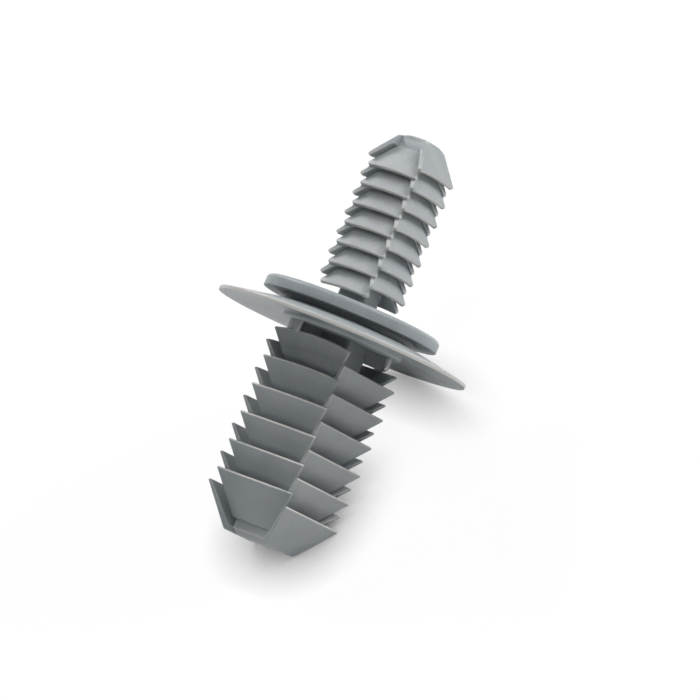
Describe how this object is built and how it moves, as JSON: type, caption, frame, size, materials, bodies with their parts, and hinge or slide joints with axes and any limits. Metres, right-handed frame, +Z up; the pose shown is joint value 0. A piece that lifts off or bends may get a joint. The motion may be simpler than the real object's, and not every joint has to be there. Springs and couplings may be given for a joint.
{
  "type": "push rivet",
  "caption": "One-piece plastic push rivet: a large and a small fir tree of sloping fins on either side of a thin sealing flange and a flat disc.",
  "frame": {"origin": "centre of the bounding box, on the surface the rivet lies on", "axes": "+Z up; +X along the surface, from the large tree's tip towards the small tree's; the rivet's own axis rises from +X by 24.9 degrees in the XZ plane, because the rivet lies on the rim of its flange and on the last fins of the large tree"},
  "size_m": [0.031, 0.02, 0.0183],
  "materials": {
    "nylon": "moulded grey nylon, satin"
  },
  "bodies": {
    "root": {"rivet": "nylon"}
  },
  "joints": []
}
